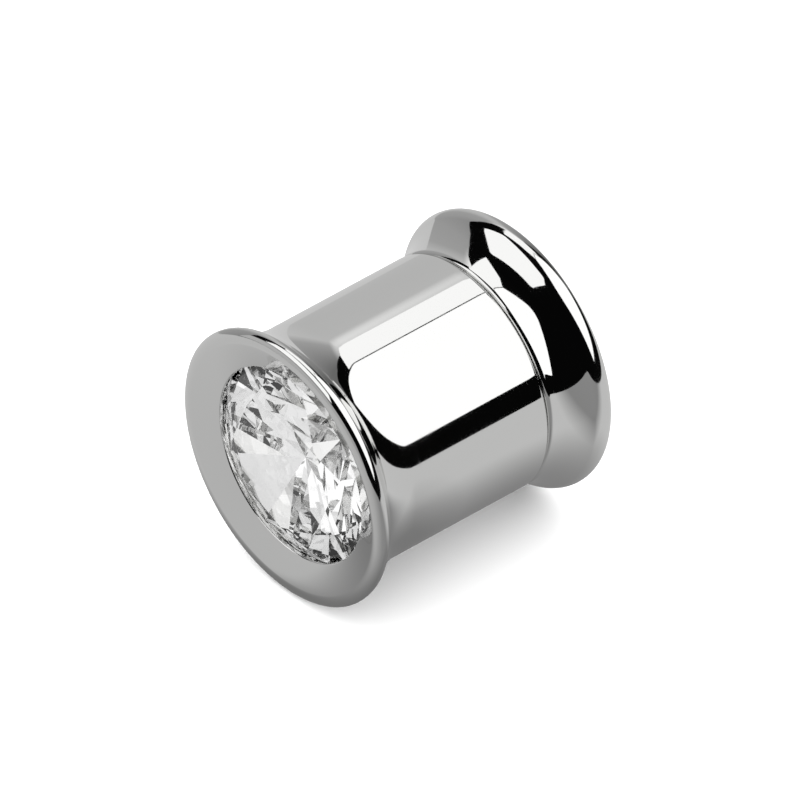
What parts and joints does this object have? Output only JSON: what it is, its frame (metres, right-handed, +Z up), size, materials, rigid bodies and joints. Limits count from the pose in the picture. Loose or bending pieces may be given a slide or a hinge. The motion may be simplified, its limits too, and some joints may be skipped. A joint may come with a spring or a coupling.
{
  "type": "ear tunnel",
  "caption": "Double-flared ear tunnel for a stretched lobe, with a round brilliant stone set in its front flare and a rear flare that comes off so that the tube can go in.",
  "frame": {"origin": "middle of the straight tube that the ear lobe lies on, on the tube's axis", "axes": "+Y along the tube, from the stone's face towards the flare that comes off; +Z up when the tunnel lies on its two rims; +X across"},
  "size_m": [0.0094, 0.0097, 0.0094],
  "materials": {
    "polished_steel": "turned 316L stainless steel, mirror polished, with the hairlines of the polishing wheel",
    "clear_stone": "colourless cubic zirconia cut as a round brilliant, every facet polished"
  },
  "bodies": {
    "front": {"front_barrel": "polished_steel", "stone": "clear_stone"},
    "rear": {"rear_flare": "polished_steel"}
  },
  "joints": [
    {"name": "rear_flare_off", "type": "slide", "parent": "front", "child": "rear", "axis": [0, 1, 0], "range_m": [0, 0.016]}
  ]
}
